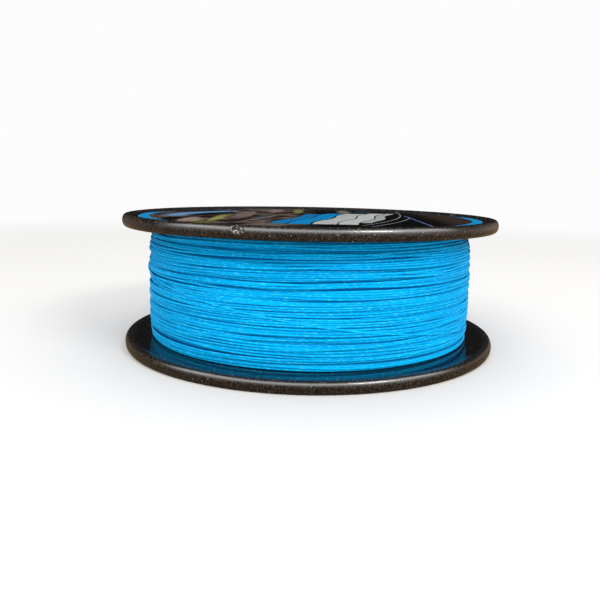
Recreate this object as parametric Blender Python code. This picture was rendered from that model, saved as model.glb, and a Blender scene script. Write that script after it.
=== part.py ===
"""A fishing line spool: two moulded flanges staked to a hollow core, wound with braided line.

The spool stands on its lower flange at the origin, with its turning axis along +Z.
Each separate piece of the real spool is one object.
"""

import math

import bmesh
import bpy
from mathutils import Matrix, Vector

MM = 0.001
FULL_TURN = 2 * math.pi
QUARTER_TURN = math.pi / 2

# Overall size
RIM_DIAMETER = 100.0 * MM
SPOOL_HEIGHT = 34.6 * MM

# Fit between pieces that seat on each other
GAP = 0.3 * MM

# Flange: a flat plate in a round bead
BEAD_WIDTH = 2.5 * MM
BEAD_HEIGHT = 3.0 * MM
BEAD_LAND = 0.8 * MM  # width of the flat on each crest of the bead
BEAD_PROUD = 0.2 * MM  # the inner crest above the plate
LABEL_INSET = 0.6 * MM  # the label's face below the outer crest

# Label, a full disc let into the flange's outer side
LABEL_THICKNESS = 0.2 * MM
LABEL_MARGIN = 1.4 * MM  # from the label's edge to the bead

# Core: the drum that carries the line, and a tube for the axle inside it
DRUM_DIAMETER = 62.0 * MM
DRUM_WALL = 1.8 * MM
AXLE_BORE = 10.0 * MM
HUB_WALL = 1.8 * MM
SEAT_DEPTH = 0.6 * MM  # how deep the flange takes the ends of drum and hub
RIB_COUNT = 6
RIB_THICKNESS = 1.4 * MM
RIB_DROP = 0.5 * MM  # the ribs stop this far short of the bosses' seats
BOSS_WALL = 1.5 * MM

# Staked pegs: they pass through the flanges and are melted into flat heads
PEG_DIAMETER = 3.0 * MM
HEAD_OVERHANG = 1.0 * MM  # beyond the shank, all round
HEAD_THICKNESS = 0.5 * MM
HEAD_INSET = 0.1 * MM  # below the floor that the label lies on

# Line
LINE_DIAMETER = 0.6 * MM
RIM_FREE = 6.6 * MM  # bare flange outside the wound line
WINDING_CROWN = 0.3 * MM  # how much the pack's edges fall away
CROWN_DEPTH = 1.2 * MM  # length of each rounded edge of the pack

# Slit in the upper rim that holds the line's end
SLIT_AZIMUTH = math.radians(24.0)
SLIT_DEPTH = 2.8 * MM
SLIT_FLARE = 0.6 * MM  # each corner of the slit's mouth
TAIL_WRAP = math.radians(24.0)  # the tail's last stretch along the pack
TAIL_CLIMB = 3.6 * MM  # its rise along that stretch and the straight run
TAIL_BEND = 1.2 * MM  # radius of the turn up into the slit
TAIL_END = 0.6 * MM  # cut this far below the bead's top

# Tape that holds the first turns to the drum
TAPE_THICKNESS = 0.2 * MM
TAPE_WIDTH = 12.0 * MM
TAPE_LENGTH = 24.0 * MM
TAPE_AZIMUTH = math.radians(180.0)

# Facets of the round pieces
RIM_FACETS = 72
DRUM_FACETS = 60
HUB_FACETS = 24
PEG_FACETS = 12
BEAD_STEPS = 8
ARC_STEPS = 3
TUBE_RESOLUTION = 2  # gives the line's tube eight sides
ROUTE_SPACING = 2.5 * LINE_DIAMETER  # between the points of the tail's route
SHARP_ANGLE = math.radians(32.0)  # edges that turn more than this stay sharp
MERGE_DISTANCE = 0.001 * MM
CUT_MARGIN = 1.0 * MM  # a cutter runs this far past what it cuts

# Sizes that follow from the ones above
RIM_RADIUS = RIM_DIAMETER / 2
BEAD_INNER = RIM_RADIUS - BEAD_WIDTH
LABEL_RADIUS = BEAD_INNER - LABEL_MARGIN
RECESS_FLOOR = LABEL_INSET + LABEL_THICKNESS + GAP
PLATE_INNER = BEAD_HEIGHT - BEAD_PROUD
SEAT_FLOOR = PLATE_INNER - SEAT_DEPTH
DRUM_RADIUS = DRUM_DIAMETER / 2
DRUM_INSIDE = DRUM_RADIUS - DRUM_WALL
BORE_RADIUS = AXLE_BORE / 2
HUB_RADIUS = BORE_RADIUS + HUB_WALL
PEG_RADIUS = PEG_DIAMETER / 2
HEAD_RADIUS = PEG_RADIUS + HEAD_OVERHANG
PEG_CIRCLE = (DRUM_INSIDE + HUB_RADIUS) / 2
HEAD_LOW = RECESS_FLOOR + HEAD_INSET
HEAD_HIGH = HEAD_LOW + HEAD_THICKNESS
COUNTERBORE_FLOOR = HEAD_HIGH + GAP
WINDING_RADIUS = RIM_RADIUS - RIM_FREE
WINDING_INSIDE = DRUM_RADIUS + GAP + TAPE_THICKNESS + GAP
WINDING_LOW = PLATE_INNER + GAP
SLIT_WIDTH = LINE_DIAMETER + 2 * GAP

BLACK_PLASTIC = dict(colour=(0.012, 0.011, 0.010), roughness=0.32)
CORE_PLASTIC = dict(colour=(0.020, 0.020, 0.021), roughness=0.45)
PRINTED_VINYL = dict(colour=(0.020, 0.022, 0.030), roughness=0.35)
BRAIDED_LINE = dict(colour=(0.000, 0.330, 0.720), roughness=0.55)
PAPER_TAPE = dict(colour=(0.640, 0.560, 0.400), roughness=0.70)


def clear_scene():
    for item in list(bpy.data.objects):
        bpy.data.objects.remove(item, do_unlink=True)


def plastic(name, colour, roughness):
    material = bpy.data.materials.new(name)
    material.use_nodes = True
    shader = material.node_tree.nodes["Principled BSDF"]
    shader.inputs["Base Color"].default_value = (*colour, 1.0)
    shader.inputs["Roughness"].default_value = roughness
    shader.inputs["Metallic"].default_value = 0.0
    material.diffuse_color = (*colour, 1.0)
    return material


def finished(name, bm, material=None):
    """The bmesh as an object with its faces outwards, shaded smooth except at its sharp edges."""
    bmesh.ops.recalc_face_normals(bm, faces=bm.faces[:])
    mesh = bpy.data.meshes.new(name)
    bm.to_mesh(mesh)
    bm.free()
    mesh.shade_smooth()
    mesh.set_sharp_from_angle(angle=SHARP_ANGLE)
    piece = bpy.data.objects.new(name, mesh)
    bpy.context.scene.collection.objects.link(piece)
    if material:
        mesh.materials.append(material)
    return piece


def turn(bm, outline, facets, closed=True, angle=FULL_TURN):
    """Spins an outline of (radius, height) about Z. An open outline starts and ends on the axis."""
    verts = [bm.verts.new((radius, 0.0, height)) for radius, height in outline]
    edges = [bm.edges.new(pair) for pair in zip(verts, verts[1:])]
    if closed:
        edges.append(bm.edges.new((verts[-1], verts[0])))
    whole = angle == FULL_TURN
    bmesh.ops.spin(
        bm,
        geom=verts + edges,
        cent=(0.0, 0.0, 0.0),
        axis=(0.0, 0.0, 1.0),
        angle=angle,
        steps=facets,
        use_merge=whole,
    )
    if not closed:
        bmesh.ops.remove_doubles(bm, verts=bm.verts[:], dist=MERGE_DISTANCE)


def raise_prism(bm, outline, low, high):
    """A flat outline of (x, y) points, raised from one height to another."""
    verts = [bm.verts.new((x, y, low)) for x, y in outline]
    face = bm.faces.new(verts)
    raised = bmesh.ops.extrude_face_region(bm, geom=[face])["geom"]
    top = [item for item in raised if isinstance(item, bmesh.types.BMVert)]
    bmesh.ops.translate(bm, verts=top, vec=(0.0, 0.0, high - low))


def add_cylinder(bm, radius, low, high, facets, place=(0.0, 0.0)):
    bmesh.ops.create_cone(
        bm,
        cap_ends=True,
        segments=facets,
        radius1=radius,
        radius2=radius,
        depth=high - low,
        matrix=Matrix.Translation((place[0], place[1], (low + high) / 2)),
    )


def arc(centre, radii, start, stop, steps=ARC_STEPS):
    """Points of an elliptical arc after its first one. Angles run from +radius towards +height."""
    points = []
    for step in range(1, steps + 1):
        angle = start + (stop - start) * step / steps
        radius = centre[0] + radii[0] * math.cos(angle)
        height = centre[1] + radii[1] * math.sin(angle)
        points.append((radius, height))
    return points


def boolean(piece, tool, operation):
    """Joins the tool to the piece or cuts it from it. The tool itself stays hidden."""
    modifier = piece.modifiers.new(operation.title(), "BOOLEAN")
    modifier.operation = operation
    modifier.solver = "EXACT"
    modifier.object = tool
    tool.hide_render = True
    tool.display_type = "WIRE"


def around_pegs():
    """Each peg's place on the peg circle."""
    for index in range(RIB_COUNT):
        turned = Matrix.Rotation(FULL_TURN * index / RIB_COUNT, 4, "Z")
        yield turned @ Vector((PEG_CIRCLE, 0.0, 0.0))


def stepped_pins(name, shank, head, head_low, head_high):
    """Pins through the whole spool, one on each peg's place, with a wider head at each end."""
    bm = bmesh.new()
    outline = [
        (0.0, head_low),
        (head, head_low),
        (head, head_high),
        (shank, head_high),
        (shank, SPOOL_HEIGHT - head_high),
        (head, SPOOL_HEIGHT - head_high),
        (head, SPOOL_HEIGHT - head_low),
        (0.0, SPOOL_HEIGHT - head_low),
    ]
    for place in around_pegs():
        pin = bmesh.new()
        turn(pin, outline, PEG_FACETS, closed=False)
        bmesh.ops.translate(pin, verts=pin.verts[:], vec=place)
        part = bpy.data.meshes.new(name)
        pin.to_mesh(part)
        pin.free()
        bm.from_mesh(part)
        bpy.data.meshes.remove(part)
    return finished(name, bm)


def flange_outline():
    """Half section of a flange whose outer side faces down at height zero."""
    centre = RIM_RADIUS - BEAD_WIDTH / 2
    land_in = centre - BEAD_LAND / 2
    land_out = centre + BEAD_LAND / 2
    side = (BEAD_WIDTH - BEAD_LAND) / 2
    middle = BEAD_HEIGHT / 2
    outline = [
        (BORE_RADIUS, RECESS_FLOOR),
        (LABEL_RADIUS + GAP, RECESS_FLOOR),
        (LABEL_RADIUS + GAP, LABEL_INSET),
        (BEAD_INNER, LABEL_INSET),
    ]
    outline += arc((land_in, LABEL_INSET), (side, LABEL_INSET), math.pi, math.pi + QUARTER_TURN)
    outline.append((land_out, 0.0))
    outline += arc((land_out, middle), (side, middle), -QUARTER_TURN, QUARTER_TURN, BEAD_STEPS)
    outline.append((land_in, BEAD_HEIGHT))
    outline += arc((land_in, PLATE_INNER), (side, BEAD_PROUD), QUARTER_TURN, math.pi)
    outline += [
        (DRUM_RADIUS + GAP, PLATE_INNER),
        (DRUM_RADIUS + GAP, SEAT_FLOOR),
        (DRUM_INSIDE - GAP, SEAT_FLOOR),
        (DRUM_INSIDE - GAP, PLATE_INNER),
        (HUB_RADIUS + GAP, PLATE_INNER),
        (HUB_RADIUS + GAP, SEAT_FLOOR),
        (BORE_RADIUS, SEAT_FLOOR),
    ]
    return outline


def make_flange(name, material, peg_holes):
    """The plate with its bead, the label's recess, the seats of drum and hub, and the peg holes."""
    bm = bmesh.new()
    turn(bm, flange_outline(), RIM_FACETS)
    flange = finished(name, bm, material)
    boolean(flange, peg_holes, "DIFFERENCE")
    return flange


def make_slit_cutter():
    """The line slit's outline: a round root, straight sides and a flared mouth."""
    half = SLIT_WIDTH / 2
    root = RIM_RADIUS - SLIT_DEPTH + half
    mouth = RIM_RADIUS - SLIT_FLARE
    beyond = RIM_RADIUS + CUT_MARGIN
    flared = half + SLIT_FLARE + CUT_MARGIN
    outline = [(beyond, flared), (mouth, half), (root, half)]
    outline += arc((root, 0.0), (half, half), QUARTER_TURN, 3 * QUARTER_TURN)
    outline += [(mouth, -half), (beyond, -flared)]
    bm = bmesh.new()
    low = SPOOL_HEIGHT - BEAD_HEIGHT - CUT_MARGIN
    raise_prism(bm, outline, low, SPOOL_HEIGHT + CUT_MARGIN)
    turned = Matrix.Rotation(SLIT_AZIMUTH, 4, "Z")
    bmesh.ops.transform(bm, matrix=turned, verts=bm.verts[:])
    return finished("slit_cutter", bm)


def make_ribs():
    """A star of ribs from the hub into the drum's wall, with a boss round each peg."""
    low = PLATE_INNER + GAP
    high = SPOOL_HEIGHT - low
    half = RIB_THICKNESS / 2
    reach = DRUM_RADIUS - DRUM_WALL / 2
    step = FULL_TURN / RIB_COUNT
    corner = half / math.sin(step / 2)
    outline = []
    for index in range(RIB_COUNT):
        along = Vector((math.cos(step * index), math.sin(step * index)))
        across = Vector((-along.y, along.x))
        outline.append(tuple(along * reach - across * half))
        outline.append(tuple(along * reach + across * half))
        between = step * index + step / 2
        outline.append((corner * math.cos(between), corner * math.sin(between)))
    bm = bmesh.new()
    raise_prism(bm, outline, low + RIB_DROP, high - RIB_DROP)
    ribs = finished("ribs_tool", bm)

    bm = bmesh.new()
    for place in around_pegs():
        add_cylinder(bm, PEG_RADIUS + BOSS_WALL, low, high, PEG_FACETS, place)
    bosses = finished("bosses_tool", bm)
    return ribs, bosses


def make_core(material):
    """Drum, ribs, bosses, hub tube and staked pegs: one moulding."""
    low = SEAT_FLOOR + GAP
    high = SPOOL_HEIGHT - low
    wall = [(DRUM_INSIDE, low), (DRUM_RADIUS, low), (DRUM_RADIUS, high), (DRUM_INSIDE, high)]
    drum = bmesh.new()
    turn(drum, wall, DRUM_FACETS)
    core = finished("arbor_core", drum, material)
    ribs, bosses = make_ribs()
    boolean(core, ribs, "UNION")
    boolean(core, bosses, "UNION")
    hub = bmesh.new()
    add_cylinder(hub, HUB_RADIUS, low, high, HUB_FACETS)
    boolean(core, finished("hub_tool", hub), "UNION")
    bore = bmesh.new()
    add_cylinder(bore, BORE_RADIUS, -CUT_MARGIN, SPOOL_HEIGHT + CUT_MARGIN, HUB_FACETS)
    boolean(core, finished("bore_cutter", bore), "DIFFERENCE")
    pegs = stepped_pins("pegs_tool", PEG_RADIUS, HEAD_RADIUS, HEAD_LOW, HEAD_HIGH)
    boolean(core, pegs, "UNION")
    return core


def make_label(name, low, material):
    bm = bmesh.new()
    add_cylinder(bm, LABEL_RADIUS, low, low + LABEL_THICKNESS, RIM_FACETS)
    return finished(name, bm, material)


def make_winding(material):
    """The line's pack on the drum, as one solid with rounded edges."""
    low = WINDING_LOW
    high = SPOOL_HEIGHT - low
    shoulder = WINDING_RADIUS - WINDING_CROWN
    radii = (WINDING_CROWN, CROWN_DEPTH)
    outline = [(WINDING_INSIDE, low), (shoulder, low)]
    outline += arc((shoulder, low + CROWN_DEPTH), radii, -QUARTER_TURN, 0.0)
    outline.append((WINDING_RADIUS, high - CROWN_DEPTH))
    outline += arc((shoulder, high - CROWN_DEPTH), radii, 0.0, QUARTER_TURN)
    outline.append((WINDING_INSIDE, high))
    bm = bmesh.new()
    turn(bm, outline, RIM_FACETS)
    return finished("line_winding", bm, material)


def make_tape(material):
    """A strip of tape round part of the drum, under the first turns."""
    inside = DRUM_RADIUS + GAP
    outside = inside + TAPE_THICKNESS
    low = (SPOOL_HEIGHT - TAPE_WIDTH) / 2
    high = low + TAPE_WIDTH
    angle = TAPE_LENGTH / inside
    bm = bmesh.new()
    section = [(inside, low), (outside, low), (outside, high), (inside, high)]
    steps = round(DRUM_FACETS * angle / FULL_TURN)
    turn(bm, section, steps, angle=angle)
    ends = [edge for edge in bm.edges if edge.is_boundary]
    bmesh.ops.holes_fill(bm, edges=ends)
    turned = Matrix.Rotation(TAPE_AZIMUTH - angle / 2, 4, "Z")
    bmesh.ops.transform(bm, matrix=turned, verts=bm.verts[:])
    return finished("starter_tape", bm, material)


def tail_route():
    """The tail's path: along the pack, straight to the slit, and up into it."""
    start_radius = WINDING_RADIUS + GAP + LINE_DIAMETER / 2
    slit_radius = RIM_RADIUS - BEAD_WIDTH / 2
    lead = math.acos(start_radius / slit_radius)
    leaves = SLIT_AZIMUTH + lead
    wrap_length = TAIL_WRAP * start_radius
    run_length = slit_radius * math.sin(lead)
    top = SPOOL_HEIGHT - TAIL_END
    knee = SPOOL_HEIGHT - BEAD_HEIGHT - TAIL_BEND

    points = []
    along = wrap_length + run_length - TAIL_BEND
    count = round(along / ROUTE_SPACING)
    away = Vector((math.sin(leaves), -math.cos(leaves), 0.0))
    departs = Vector((math.cos(leaves), math.sin(leaves), 0.0)) * start_radius
    for index in range(count + 1):
        travelled = along * index / count
        share = travelled / along
        height = knee - TAIL_CLIMB * (1.0 - share * share)
        if travelled < wrap_length:
            azimuth = leaves + (wrap_length - travelled) / start_radius
            place = Vector((math.cos(azimuth), math.sin(azimuth), 0.0)) * start_radius
        else:
            place = departs + away * (travelled - wrap_length)
        points.append((place.x, place.y, height))

    corner = departs + away * (run_length - TAIL_BEND)
    for forward, up in arc((0.0, TAIL_BEND), (TAIL_BEND, TAIL_BEND), -QUARTER_TURN, 0.0):
        place = corner + away * forward
        points.append((place.x, place.y, knee + up))
    rise = top - knee - TAIL_BEND
    count = round(rise / ROUTE_SPACING)
    for index in range(1, count + 1):
        place = corner + away * TAIL_BEND
        points.append((place.x, place.y, knee + TAIL_BEND + rise * index / count))
    return points


def make_tail(material):
    """The outer end of the line, from the pack into the slit of the upper rim."""
    route = tail_route()
    curve = bpy.data.curves.new("line_tail", "CURVE")
    curve.dimensions = "3D"
    curve.bevel_depth = LINE_DIAMETER / 2
    curve.bevel_resolution = TUBE_RESOLUTION
    curve.use_fill_caps = True
    spline = curve.splines.new("POLY")
    spline.points.add(len(route) - 1)
    for point, place in zip(spline.points, route):
        point.co = (*place, 1.0)
    curve.materials.append(material)
    tail = bpy.data.objects.new("line_tail", curve)
    bpy.context.scene.collection.objects.link(tail)
    return tail


def build():
    clear_scene()
    black = plastic("black_moulded_plastic", **BLACK_PLASTIC)
    grey = plastic("core_plastic", **CORE_PLASTIC)
    vinyl = plastic("printed_vinyl", **PRINTED_VINYL)
    braid = plastic("braided_line", **BRAIDED_LINE)
    paper = plastic("paper_tape", **PAPER_TAPE)

    peg_holes = stepped_pins(
        "peg_hole_cutter",
        PEG_RADIUS + GAP,
        HEAD_RADIUS + GAP,
        -CUT_MARGIN,
        COUNTERBORE_FLOOR,
    )
    make_flange("lower_flange", black, peg_holes)
    upper = make_flange("upper_flange", black, peg_holes)
    upper.location.z = SPOOL_HEIGHT
    upper.rotation_euler.x = math.pi
    boolean(upper, make_slit_cutter(), "DIFFERENCE")

    make_core(grey)
    make_label("lower_label", LABEL_INSET, vinyl)
    make_label("upper_label", SPOOL_HEIGHT - LABEL_INSET - LABEL_THICKNESS, vinyl)
    make_tape(paper)
    make_winding(braid)
    make_tail(braid)


build()
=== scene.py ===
"""The finished look of a fishing line spool: black moulded flanges, printed labels, blue braided line."""

import math

import bmesh
import bpy
import numpy as np
from mathutils import Matrix, Vector


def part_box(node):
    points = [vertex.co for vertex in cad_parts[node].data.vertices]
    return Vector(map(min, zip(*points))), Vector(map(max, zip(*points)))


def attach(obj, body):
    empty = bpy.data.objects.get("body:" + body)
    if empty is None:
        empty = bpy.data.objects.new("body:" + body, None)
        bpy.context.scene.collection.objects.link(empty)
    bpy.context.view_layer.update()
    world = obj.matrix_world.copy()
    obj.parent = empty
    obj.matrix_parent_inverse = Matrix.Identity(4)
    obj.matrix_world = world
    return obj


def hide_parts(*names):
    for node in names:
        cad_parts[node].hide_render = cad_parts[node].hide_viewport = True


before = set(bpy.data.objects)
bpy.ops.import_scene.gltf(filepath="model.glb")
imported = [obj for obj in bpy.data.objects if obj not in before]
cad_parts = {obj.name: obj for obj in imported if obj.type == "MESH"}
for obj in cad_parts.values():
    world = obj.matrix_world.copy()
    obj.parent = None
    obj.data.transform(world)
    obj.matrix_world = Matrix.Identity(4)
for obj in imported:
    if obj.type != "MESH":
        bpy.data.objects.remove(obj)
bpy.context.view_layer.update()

MM = 0.001
FULL_TURN = 2 * math.pi
QUARTER_TURN = math.pi / 2

# ---------------------------------------------------------------- sizes read from the frame

LOWER_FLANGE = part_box("lower_flange")
UPPER_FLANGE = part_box("upper_flange")
UPPER_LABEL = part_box("upper_label")
LOWER_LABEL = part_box("lower_label")
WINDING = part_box("line_winding")

RIM_RADIUS = UPPER_FLANGE[1].x
SPOOL_HEIGHT = UPPER_FLANGE[1].z
BEAD_HEIGHT = LOWER_FLANGE[1].z
LABEL_RADIUS = UPPER_LABEL[1].x
LABEL_INSET = LOWER_LABEL[0].z
LABEL_THICKNESS = LOWER_LABEL[1].z - LOWER_LABEL[0].z
WINDING_RADIUS = WINDING[1].x

# ---------------------------------------------------------------- sizes shared with the CAD model

GAP = 0.3 * MM
BEAD_WIDTH = 2.5 * MM
BEAD_LAND = 0.8 * MM
BEAD_PROUD = 0.2 * MM
DRUM_RADIUS = 31.0 * MM
DRUM_WALL = 1.8 * MM
BORE_RADIUS = 5.0 * MM
HUB_WALL = 1.8 * MM
SEAT_DEPTH = 0.6 * MM
PEG_COUNT = 6
PEG_RADIUS = 1.5 * MM
HEAD_OVERHANG = 1.0 * MM
HEAD_THICKNESS = 0.5 * MM
HEAD_INSET = 0.1 * MM
LINE_DIAMETER = 0.6 * MM
SLIT_AZIMUTH = math.radians(24.0)
SLIT_DEPTH = 2.8 * MM
SLIT_FLARE = 0.6 * MM
TAIL_WRAP = math.radians(24.0)
TAIL_CLIMB = 3.6 * MM
TAIL_BEND = 1.2 * MM
TAIL_END = 0.6 * MM

PLATE_INNER = BEAD_HEIGHT - BEAD_PROUD
RECESS_FLOOR = LABEL_INSET + LABEL_THICKNESS + GAP
SEAT_FLOOR = PLATE_INNER - SEAT_DEPTH
BEAD_INNER = RIM_RADIUS - BEAD_WIDTH
DRUM_INSIDE = DRUM_RADIUS - DRUM_WALL
HUB_RADIUS = BORE_RADIUS + HUB_WALL
PEG_CIRCLE = (DRUM_INSIDE + HUB_RADIUS) / 2
COUNTERBORE_FLOOR = RECESS_FLOOR + HEAD_INSET + HEAD_THICKNESS + GAP
SLIT_WIDTH = LINE_DIAMETER + 2 * GAP

# ---------------------------------------------------------------- the camera

VIEW_ELEVATION = 0.153  # radians down from level
VIEW_ROLL = 0.0192
VIEW_DISTANCE = 3.4329 * RIM_RADIUS
LENS = 36.6
SENSOR = 36.0
SHIFT = (-0.01568, -0.0403)
CLIP = (1.0 * MM, 50.0)


def make_camera():
    """A camera low in front of the spool, with the spool a little above the middle of its view."""
    centre = Vector((0.0, 0.0, SPOOL_HEIGHT / 2))
    back = Vector((0.0, -math.cos(VIEW_ELEVATION), math.sin(VIEW_ELEVATION)))
    data = bpy.data.cameras.new("camera")
    data.sensor_width = SENSOR
    data.lens = LENS
    data.shift_x, data.shift_y = SHIFT
    data.clip_start, data.clip_end = CLIP
    camera = bpy.data.objects.new("camera", data)
    bpy.context.scene.collection.objects.link(camera)
    camera.location = centre + back * VIEW_DISTANCE
    level = (-back).to_track_quat("-Z", "Y").to_matrix()
    camera.rotation_euler = (level @ Matrix.Rotation(VIEW_ROLL, 3, "Z")).to_euler()
    bpy.context.scene.camera = camera


make_camera()

# ---------------------------------------------------------------- helpers for materials


def linear(code):
    """An sRGB hex colour as linear values with an alpha of one."""
    channels = [int(code[at:at + 2], 16) / 255 for at in (1, 3, 5)]
    return (*[c / 12.92 if c <= 0.04045 else ((c + 0.055) / 1.055) ** 2.4 for c in channels], 1.0)


def node(tree, kind, inputs=None, **settings):
    """Adds a node. Its inputs go by name or number: a socket is linked, and any other value is set."""
    made = tree.nodes.new(kind)
    for name, value in settings.items():
        setattr(made, name, value)
    for key, value in (inputs or {}).items():
        if isinstance(value, bpy.types.NodeSocket):
            tree.links.new(value, made.inputs[key])
        else:
            made.inputs[key].default_value = value
    return made


def maths(tree, operation, *values):
    """One value worked out from others."""
    return node(tree, "ShaderNodeMath", dict(enumerate(values)), operation=operation).outputs[0]


def band(tree, value, low, high, soft):
    """One between low and high, and zero outside, with edges as wide as soft."""
    rise = node(tree, "ShaderNodeMapRange", {0: value, 1: low - soft, 2: low + soft}).outputs[0]
    fall = node(tree, "ShaderNodeMapRange", {0: value, 1: high + soft, 2: high - soft}).outputs[0]
    return maths(tree, "MULTIPLY", rise, fall)


def blend_colour(tree, share, below, above):
    """Colour above laid over colour below by share."""
    mix = node(tree, "ShaderNodeMix", {0: share, 6: below, 7: above}, data_type="RGBA")
    return mix.outputs[2]


def ramp_of(tree, value, stops):
    """Colours by value, from stops of (value, linear colour)."""
    ramp = node(tree, "ShaderNodeValToRGB", {0: value})
    elements = ramp.color_ramp.elements
    while len(elements) < len(stops):
        elements.new(0.5)
    for element, (at, colour) in zip(elements, stops):
        element.position = at
        element.color = colour
    return ramp.outputs[0]


def new_material(name):
    """A material with its node tree and its shader."""
    material = bpy.data.materials.new(name)
    material.use_nodes = True
    tree = material.node_tree
    return material, tree, tree.nodes["Principled BSDF"]


# ---------------------------------------------------------------- helpers for shapes

SHARP_ANGLE = math.radians(32.0)
MERGE_DISTANCE = 0.001 * MM


def finished(name, bm, material):
    """The bmesh as a piece with its faces outwards, shaded smooth but for its sharp edges."""
    bmesh.ops.recalc_face_normals(bm, faces=bm.faces[:])
    mesh = bpy.data.meshes.new(name)
    bm.to_mesh(mesh)
    bm.free()
    mesh.shade_smooth()
    mesh.set_sharp_from_angle(angle=SHARP_ANGLE)
    if material:
        mesh.materials.append(material)
    piece = bpy.data.objects.new(name, mesh)
    bpy.context.scene.collection.objects.link(piece)
    return piece


def turn(bm, outline, facets, closed=True):
    """Spins an outline of (radius, height) about Z. An open outline starts and ends on the axis."""
    verts = [bm.verts.new((radius, 0.0, height)) for radius, height in outline]
    edges = [bm.edges.new(pair) for pair in zip(verts, verts[1:])]
    if closed:
        edges.append(bm.edges.new((verts[-1], verts[0])))
    bmesh.ops.spin(
        bm,
        geom=verts + edges,
        cent=(0.0, 0.0, 0.0),
        axis=(0.0, 0.0, 1.0),
        angle=FULL_TURN,
        steps=facets,
        use_merge=True,
    )
    if not closed:
        bmesh.ops.remove_doubles(bm, verts=bm.verts[:], dist=MERGE_DISTANCE)


def arc(centre, radii, start, stop, steps):
    """Points of an elliptical arc after its first one. Angles run from +radius towards +height."""
    points = []
    for step in range(1, steps + 1):
        angle = start + (stop - start) * step / steps
        radius = centre[0] + radii[0] * math.cos(angle)
        height = centre[1] + radii[1] * math.sin(angle)
        points.append((radius, height))
    return points


def cut(piece, cutters):
    """Cuts each tool from the piece and throws the tools away."""
    for tool in cutters:
        modifier = piece.modifiers.new("Cut", "BOOLEAN")
        modifier.operation = "DIFFERENCE"
        modifier.solver = "EXACT"
        modifier.object = tool
    bpy.context.view_layer.update()
    graph = bpy.context.evaluated_depsgraph_get()
    cut_mesh = bpy.data.meshes.new_from_object(piece.evaluated_get(graph))
    piece.modifiers.clear()
    piece.data = cut_mesh
    for tool in cutters:
        bpy.data.objects.remove(tool, do_unlink=True)


# ---------------------------------------------------------------- black moulded plastic

GATE_AZIMUTH = math.radians(253.0)
GATE_WIDTH = 2.4 * MM
GATE_THICKNESS = 0.9 * MM
GATE_RAGGED = 0.035 * MM
GATE_PLACE = Vector((RIM_RADIUS, 0.0, SPOOL_HEIGHT - 0.57 * MM))
TORN_REACH = (1.45 * MM, 0.9 * MM)  # the whitening starts at the first distance and is full at the second

CLOUD_SIZE = 11.1 * MM
WEAR_GRAIN = 0.417 * MM
WEAR_FADE = (BEAD_INNER - 0.2 * MM, BEAD_INNER + 0.4 * MM)
WEAR_PLATE, WEAR_BEAD = 0.05, 0.85  # how much of the wear is on the plate and on the bead
RUB_SIZE = 4.17 * MM
SKIN_GRAIN = 0.385 * MM
SKIN_RELIEF = 0.02 * MM
CRAZE_GRAIN = 0.526 * MM
DUST_SPACING = 1.11 * MM
DUST_SIZE = 0.10  # share of the spacing
DUST_FREE = 0.62  # share of the places with no grain of dust
DULLING = 0.35  # roughness that wear, dust and whitening add


def whitened_scar(tree, place):
    """One where snapping off the gate tore and whitened the plastic, and zero elsewhere."""
    scar = Matrix.Rotation(GATE_AZIMUTH, 3, "Z") @ GATE_PLACE
    reach = node(tree, "ShaderNodeVectorMath", {0: place, 1: scar}, operation="DISTANCE").outputs["Value"]
    torn = node(tree, "ShaderNodeMapRange", {0: reach, 1: TORN_REACH[0], 2: TORN_REACH[1]}).outputs[0]
    grain = {"Vector": place, "Scale": 1 / CRAZE_GRAIN, "Detail": 3.0}
    crazed = node(tree, "ShaderNodeTexNoise", grain).outputs[0]
    crazed = node(tree, "ShaderNodeMapRange", {0: crazed, 1: 0.50, 2: 0.58}).outputs[0]
    return maths(tree, "MULTIPLY", torn, crazed)


def handled_wear(tree, place):
    """Fine wear from fingers and shelves, nearly all of it on the bead."""
    split = node(tree, "ShaderNodeSeparateXYZ", {0: place})
    flat = node(tree, "ShaderNodeCombineXYZ", {0: split.outputs[0], 1: split.outputs[1]}).outputs[0]
    radius = node(tree, "ShaderNodeVectorMath", {0: flat}, operation="LENGTH").outputs["Value"]
    bead = {0: radius, 1: WEAR_FADE[0], 2: WEAR_FADE[1], 3: WEAR_PLATE, 4: WEAR_BEAD}
    on_bead = node(tree, "ShaderNodeMapRange", bead).outputs[0]
    grain = {"Vector": place, "Scale": 1 / WEAR_GRAIN, "Detail": 2.0, "Roughness": 0.6}
    wear = node(tree, "ShaderNodeTexNoise", grain).outputs[0]
    wear = node(tree, "ShaderNodeMapRange", {0: wear, 1: 0.42, 2: 0.78}).outputs[0]
    return maths(tree, "MULTIPLY", wear, on_bead)


def settled_dust(tree, place):
    """Single grains of dust, one at some of the places."""
    specks = node(tree, "ShaderNodeTexVoronoi", {"Vector": place, "Scale": 1 / DUST_SPACING})
    picked = node(tree, "ShaderNodeSeparateColor", {0: specks.outputs["Color"]}).outputs[0]
    lone = maths(tree, "GREATER_THAN", picked, DUST_FREE)
    grain = maths(tree, "LESS_THAN", specks.outputs["Distance"], DUST_SIZE)
    return maths(tree, "MULTIPLY", lone, grain)


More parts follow.
